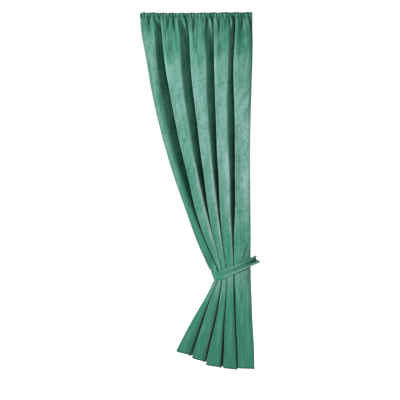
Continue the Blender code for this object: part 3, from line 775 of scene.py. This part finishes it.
def shadePainted(place, drop):
    # painted shade: in the valleys and tucks, on the heading and its rolled top edge, and at the
    # hem
    stitch = drape["stitchDrop"]
    stitchDark, stitchHalf = drape["stitchDark"]
    underDark, under, underHalf = drape["underDark"]
    lowDark, lowStart, lowEnd = drape["lowDark"]
    value = fading(drop, *drape["headDark"])
    value = value + fading(drop, *drape["rollDark"]) + stitchDark * bump(drop, stitch, stitchHalf)
    value = value + underDark * bump(drop, stitch + under, underHalf)
    tuck = np.maximum(-tuckRelief(headPlaces(place), drop), 0.0)
    value = value + drape["tuckShading"] * tuck
    value = value + touches(paintedShadeMarks, place, drop) + lowDark * ease(drop, lowStart, lowEnd)
    return value + fading(hemDrop(place) - drop, *drape["hemDark"])


def topEdge(headX):
    # how far the heading's top edge lies below its highest point
    turn = gatherTurn(headX) - drape["edgeFirst"]
    waves = drape["edgeWaves"] * turn + vary(turn, *drape["edgeUneven"])
    wave = 0.5 - 0.5 * np.cos(2 * np.pi * waves)
    corner, cornerHalf = drape["edgeCorner"]
    sag, sagX, sagHalf = drape["edgeSag"]
    lower = corner * bump(headX, headEdges[0], cornerHalf)
    return drape["edgeWave"] * wave + sag * bump(headX, sagX, sagHalf) + lower


def drapeSurface(place, drop):
    # the cloth's middle layer: the heading's relief and the creases on the folds
    headX = headPlaces(place)
    x, y = foldSurface(place, drop)
    opened = ease(drop, drape["foldStart"], drape["foldFull"]) ** drape["foldHaste"]
    x = headX + (x - headX) * opened
    stitch = drape["stitchDrop"]
    swell, swellHalf = drape["rollSwell"]
    draw, drawHalf = drape["stitchDraw"]
    roll = swell * bump(drop, stitch / 2, swellHalf) - draw * bump(drop, stitch, drawHalf)
    y = y * opened - gatherRelief(headX, drop) - tuckRelief(headX, drop) - roll
    y = y - creaseRelief(x, drop) * facing(place) * opened
    edge = topEdge(headX) * (1 - ease(drop, 0.0, stitch))
    return np.column_stack((x, y, -drop - edge))


def hemDrop(place):
    # the hem steps down from fold to fold
    knots = []
    hems = []
    for n in range(len(folds)):
        knots += [n * steps + frontSteps[0], n * steps + frontSteps[1]]
        hems += [hemLeft[n], hemRight[n]]
    return np.interp(place, knots, hems)


def buildDrape(material):
    index = np.arange(last + 1)
    headCount, perStep = drape["columns"]
    (finest, finestCount), (fine, fineCount) = drape["headRows"]
    # places and drops of every row, the heading's first
    headX = np.linspace(headEdges[0], headEdges[-1], headCount + 1)
    headPlace = np.interp(headX, headAt(index), index)
    bodyPlace = np.linspace(0.0, last, int(last * perStep) + 1)
    hem = hemDrop(bodyPlace)
    grids = []
    finestDrops = np.linspace(0.0, finest, finestCount)
    fineDrops = np.linspace(finest, fine, fineCount)
    headDrops = np.append(finestDrops[:-1], fineDrops)
    for drop in headDrops:
        grids.append((headPlace, np.full(len(headPlace), drop)))
    for share in np.linspace(0.0, 1.0, drape["bodyRows"] + 1)[1:]:
        grids.append((bodyPlace, fine + (hem - fine) * share))
    rows = [drapeSurface(place, drop) for place, drop in grids]
    bm = bmesh.new()
    head = addRows(bm, rows[:len(headDrops)])
    body = addRows(bm, rows[len(headDrops):])
    bodyX = np.interp(bodyPlace, index, headAt(index))
    zipRows(bm, head[-1], headX, body[0], bodyX)
    place = np.concatenate([grid[0] for grid in grids])
    drop = np.concatenate([grid[1] for grid in grids])
    across = place / last * drape["flat"][0]
    marks = {
        "cloth": np.column_stack((across, drop, np.zeros(len(drop)))),
        "paintedSheen": sheenPainted(place, drop, np.concatenate(rows)[:, 0]),
        "paintedShade": shadePainted(place, drop),
    }
    return clothPiece("hungDrape", bm, drape["thick"], material, marks)


# the tieback's surface, along its path
def bandPath():
    # the middle of the band's inner face, from its front end round the waist to its back end
    half = tieback["depth"] / 2
    middle = (tieback["left"] + tieback["right"]) / 2
    power = 2 / tieback["oval"]
    turns = np.linspace(0.0, np.pi, tieback["ovalPoints"])[1:-1]
    cosine = np.cos(turns)
    x = middle + (tieback["right"] - middle) * np.sign(cosine) * np.abs(cosine) ** power
    y = -half * np.sin(turns) ** power
    outX = -np.gradient(y)
    outY = np.gradient(x)
    length = np.hypot(outX, outY)
    x = x + outX / length * tieback["gap"]
    y = y + outY / length * tieback["gap"]
    # it leaves the oval where a line from the cut end would touch it
    leave = np.argmax((-y - tieback["endGap"]) / (tieback["end"] - x))
    x = np.append(x[leave:], tieback["left"] - tieback["gap"])
    y = np.append(y[leave:], 0.0)
    run = np.concatenate(([0.0], np.cumsum(np.hypot(np.diff(x), np.diff(y)))))
    ovalSteps, endSteps = tieback["steps"]
    shares = 1 - (1 - np.linspace(0.0, 1.0, ovalSteps + 1)) ** tieback["closer"]
    x, y = (np.interp(run[-1] * shares, run, values) for values in (x, y))
    t = np.linspace(0.0, 1.0, endSteps + 1)[:-1]
    sweep = (y[0] + tieback["endGap"]) * t ** tieback["endSweep"]
    x = np.concatenate((tieback["end"] + (x[0] - tieback["end"]) * t, x))
    y = np.concatenate((-tieback["endGap"] + sweep, y))
    # and back again behind
    x = np.concatenate((x, x[-2::-1]))
    y = np.concatenate((y, -y[-2::-1]))
    return np.column_stack((x, y, -tieDrop(x)))


def buildTieback(material):
    path = bandPath()
    along = np.gradient(path, axis=0)
    along /= np.linalg.norm(along, axis=1)[:, None]
    out = np.column_stack((-along[:, 1], along[:, 0], np.zeros(len(path))))
    out /= np.linalg.norm(out, axis=1)[:, None]
    up = np.cross(along, out)
    lengths = np.concatenate(([0.0], np.cumsum(np.linalg.norm(np.diff(path, axis=0), axis=1))))
    left = tieback["left"]
    plain = tieback["plainRelief"]
    lower, *lowerAt = tieback["lowerHighlight"]
    upper, *upperAt = tieback["upperHighlight"]
    rows = []
    cloth = []
    pale = []
    dark = []
    for n in range(len(path)):
        x = path[n][0]
        roundLeft = 1 - ease(x, left, left + tieback["roundLeft"])
        towardsEnd = (x - left) / (tieback["end"] - left)
        half = tieback["width"] / 2 * (1 - tieback["taper"] * towardsEnd ** 2)
        drawn = fading(towardsEnd, ease(towardsEnd, *tieback["pinchCome"]), *tieback["pinchFade"])
        fromEnd = min(n, len(path) - 1 - n) / tieback["steps"][1]
        cut = max(0.0, 1 - fromEnd) ** 2
        strips = ease(x - left, *tieback["stripsCome"])
        darker = ease(towardsEnd, *tieback["endFrom"])
        between = tieback["betweenDark"] + tieback["endDark"] * darker
        inward = along[n] if n < len(path) / 2 else -along[n]
        row = []
        for across, lift in relief:
            lift = lift * (plain + (1 - plain) * strips) * (1 + tieback["endRelief"] * towardsEnd)
            lift = lift + tieback["lean"] * roundLeft * (across + 1) / 2
            reach = half - tieback["pinch"] * drawn if across < 0 else half
            point = path[n] + up[n] * across * reach
            point = point + out[n] * (lift + tieback["thick"] / 2)
            notch = tieback["notch"] * (1 - abs(across)) - tieback["endSlant"] * (across < 0)
            row.append(point + inward * notch * cut)
            cloth.append((across * tieback["width"] / 2, lengths[n], 0.0))
            # painted highlights on the strips, and painted shade between them, deeper inside the
            # ends
            strip = lower * bump(across, *lowerAt) + upper * bump(across, *upperAt)
            pale.append(tieback["plainSheen"] + strips * (tieback["stripsSheen"] + strip))
            dark.append(strips * between * bump(across, *tieback["darkBand"]))
        rows.append(row)
    bm = bmesh.new()
    addRows(bm, rows)
    marks = {
        "cloth": np.array(cloth),
        "paintedSheen": pale,
        "paintedShade": dark,
    }
    return clothPiece("tiebackBand", bm, tieback["thick"], material, marks)


# velvet: its own deep colour, a pale one painted for sheen and a dark one painted for shade, its
# finish and its marks
drapeVelvet = {
    "deep": (0.048, 0.262, 0.176, 1.0),
    "pale": (0.300, 0.505, 0.455, 1.0),
    "dark": (0.014, 0.058, 0.048, 1.0),
    "roughness": 0.80,
    "roughnessPile": 0.08,      # how much it changes with the pile
    "sheen": 0.25,
    "sheenRoughness": 0.40,
    "sheenTint": (0.75, 0.93, 0.88, 1.0),
    "gloss": 0.15,
    "warp": 0.30,               # contrast of the long streaks down the cloth
    "crush": 0.25,              # of the short slanting marks where the pile is crushed
    "cloud": 0.30,              # of the broad patches
    "crinkle": 0.70,            # and of a few fine slanting creases: painted shade on the sheen
    # slant, breadth and length of each, its detail, and the levels of noise taken as 0 and 1
    "warpNoise": (0.0, 0.009, 0.30, 3.0, 0.35, 0.65),
    "crushNoise": (0.45, 0.007, 0.034, 4.0, 0.40, 0.62),
    "cloudNoise": (0.45, 0.050, 0.16, 2.0, 0.30, 0.70),
    "crinkleNoise": (0.75, 0.0075, 0.034, 1.0, 0.60, 0.72),
    "wander": (0.022, 0.040, 0.0),      # how far the marks wander, across and down
    "wanderScale": 9.0,
    "slantCome": (0.20, 0.50),  # drops over which the marks come to slant
    "slantFade": (1.70, 1.95),  # and over which they straighten again
    "slantLoss": 0.8,           # how much they do
    "cloudLoss": 0.6,           # and how much the broad patches fade there
    "straightCrush": 0.35,      # share of the crushed marks where the marks run straight
    "straightWarp": 1.9,        # and of the streaks
    "markTone": (0.65, 0.55),   # how the marks show on bare cloth, and how much more on painted sheen
    "markOnShade": 0.45,           # and how much they lighten the painted shade
    "relief": (0.4, 0.9, 0.5, 1.2),     # of the pile, crush, warp and crinkle
    "reliefDepth": 0.0012,
    "pileBump": 0.30,
    "pileScale": 900.0,
}

tieVelvet = dict(drapeVelvet, crush=0.20, cloud=0.10)


def velvetFinish(name, looks):
    material = bpy.data.materials.new(name)
    material.use_nodes = True
    tree = material.node_tree
    tree.nodes.clear()
    shade = Shade(tree)
    cloth = shade.node("Attribute", {"attribute_name": "cloth"}, {}, "Vector")
    paintedSheen = shade.node("Attribute", {"attribute_name": "paintedSheen"}, {}, "Fac")
    paintedShade = shade.node("Attribute", {"attribute_name": "paintedShade"}, {}, "Fac")

    # the marks wander a little, so that none of them run straight
    inputs = {"Vector": cloth, "Scale": looks["wanderScale"], "Detail": 1.0}
    wander = shade.node("TexNoise", {}, inputs, "Color")
    inputs = {0: wander, 1: looks["wander"], 2: cloth}
    wandered = shade.node("VectorMath", {"operation": "MULTIPLY_ADD"}, inputs)

    def streaks(slant, breadth, length, detail, low, high):
        # noise drawn out down the cloth, or at a slant towards the lower left
        size = {"Rotation": (0, 0, slant), "Scale": (breadth, length, 1)}
        placed = shade.node("Mapping", {"vector_type": "TEXTURE"}, {"Vector": wandered, **size})
        noise = shade.node("TexNoise", {}, {"Vector": placed, "Scale": 1.0, "Detail": detail})
        return noise.between(low, high)

    warp = streaks(*looks["warpNoise"])
    crush = streaks(*looks["crushNoise"])
    cloud = streaks(*looks["cloudNoise"])
    crinkle = streaks(*looks["crinkleNoise"]).clamped()
    # under the heading and below the tie the marks run straight down; between them they slant
    drop = shade.node("SeparateXYZ", {}, {"Vector": cloth}, "Y")
    settled = drop.between(*looks["slantFade"])
    slanted = drop.between(*looks["slantCome"]) - looks["slantLoss"] * settled
    straight = looks["straightCrush"]
    marks = looks["crush"] * (straight + (1 - straight) * slanted) * (crush - 0.5)
    straight = looks["straightWarp"]
    marks = marks + looks["warp"] * (straight - (straight - 1) * slanted) * (warp - 0.5)
    marks = marks + looks["cloud"] * (1 - looks["cloudLoss"] * settled) * (cloud - 0.5)
    bare, more = looks["markTone"]
    # the painted sheen mixes in the pale colour, and the painted shade the dark one, over the
    # velvet's own deep colour
    tone = paintedSheen + marks * (bare + more * paintedSheen) - looks["crinkle"] * crinkle * paintedSheen
    colour = tone.clamped().mixed(looks["deep"], looks["pale"])
    colour = (paintedShade - looks["markOnShade"] * marks).clamped().mixed(colour, looks["dark"])
    inputs = {"Vector": cloth, "Scale": looks["pileScale"], "Detail": 2.0}
    pile = shade.node("TexNoise", {}, inputs)
    pileTall, crushTall, warpTall, crinkleDeep = looks["relief"]
    height = pileTall * pile + crushTall * crush + warpTall * warp - crinkleDeep * crinkle
    inputs = {"Height": height, "Strength": looks["pileBump"], "Distance": looks["reliefDepth"]}
    bumped = shade.node("Bump", {}, inputs, "Normal")
    rough = looks["roughnessPile"]
    inputs = {
        "Base Color": colour,
        "Roughness": rough * pile + (looks["roughness"] - rough / 2),
        "Sheen Weight": looks["sheen"],
        "Sheen Roughness": looks["sheenRoughness"],
        "Sheen Tint": looks["sheenTint"],
        "Specular IOR Level": looks["gloss"],
        "Normal": bumped,
    }
    surface = shade.node("BsdfPrincipled", {}, inputs)
    shade.node("OutputMaterial", {}, {"Surface": surface})
    return material


# the two pieces
hungDrape = buildDrape(velvetFinish("drapeVelvet", drapeVelvet))
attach(hungDrape, "root")
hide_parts("drape")
print("drape hung")

tiebackBand = buildTieback(velvetFinish("tieVelvet", tieVelvet))
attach(tiebackBand, "root")
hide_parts("tieback")
print("tieback tied")


# the studio
studio = {
    "target": (0.0266, 0.0, -1.316),    # the camera looks straight at it from the front
    "distance": 6.5,
    "seen": 2.8,                # metres seen across the picture at the drape
    "sensor": 36.0,             # millimetres
    "keyPlace": (-3.2, -3.0, -0.5),
    "keyAim": (0.03, 0.0, -1.2),
    "keySize": 1.2,
    "keyPower": 192,
    "ambient": 0.45,            # strength of the room's light, where the backdrop's is 1
    "floorDrop": 2.512,
    "floorSize": 12.0,
    "floorColour": (0.90, 0.90, 0.90, 1.0),
    "floorRoughness": 0.9,
    "floorGlow": 0.85,          # it shines a little, so that it stays pale
}


def addCamera():
    made = bpy.data.objects.new("camera", bpy.data.cameras.new("camera"))
    made.data.sensor_width = studio["sensor"]
    made.data.lens = studio["sensor"] * studio["distance"] / studio["seen"]
    made.location = Vector(studio["target"]) - Vector((0, studio["distance"], 0))
    made.rotation_euler = (math.pi / 2, 0.0, 0.0)
    bpy.context.scene.collection.objects.link(made)
    bpy.context.scene.camera = made


def addKey():
    light = bpy.data.lights.new("key", "AREA")
    light.size = studio["keySize"]
    light.energy = studio["keyPower"]
    made = bpy.data.objects.new("key", light)
    made.location = studio["keyPlace"]
    aim = Vector(studio["keyAim"]) - made.location
    made.rotation_euler = aim.to_track_quat("-Z", "Y").to_euler()
    bpy.context.scene.collection.objects.link(made)


def addFloor():
    mesh = bpy.data.meshes.new("floor")
    half = studio["floorSize"] / 2
    corners = [(-half, -half), (half, -half), (half, half), (-half, half)]
    mesh.from_pydata([(x, y, -studio["floorDrop"]) for x, y in corners], [], [(0, 1, 2, 3)])
    material = bpy.data.materials.new("paleFloor")
    material.use_nodes = True
    tree = material.node_tree
    tree.nodes.clear()
    shade = Shade(tree)
    inputs = {
        "Base Color": studio["floorColour"],
        "Roughness": studio["floorRoughness"],
        "Emission Color": (1.0, 1.0, 1.0, 1.0),
        "Emission Strength": studio["floorGlow"],
    }
    shade.node("OutputMaterial", {}, {"Surface": shade.node("BsdfPrincipled", {}, inputs)})
    mesh.materials.append(material)
    made = bpy.data.objects.new("floor", mesh)
    made.visible_diffuse = False
    made.visible_glossy = False
    bpy.context.scene.collection.objects.link(made)


def addSky():
    # the room's light is low, and the backdrop seen past the drape is white
    world = bpy.data.worlds.new("studio")
    world.use_nodes = True
    tree = world.node_tree
    tree.nodes.clear()
    shade = Shade(tree)
    seen = shade.node("LightPath", {}, {}, "Is Camera Ray")
    strength = seen * (1.0 - studio["ambient"]) + studio["ambient"]
    backdrop = shade.node("Background", {}, {"Color": (1, 1, 1, 1), "Strength": strength})
    shade.node("OutputWorld", {}, {"Surface": backdrop})
    bpy.context.scene.world = world


addCamera()
addKey()
addFloor()
addSky()
bpy.context.scene.view_settings.view_transform = "Standard"
print("studio set")
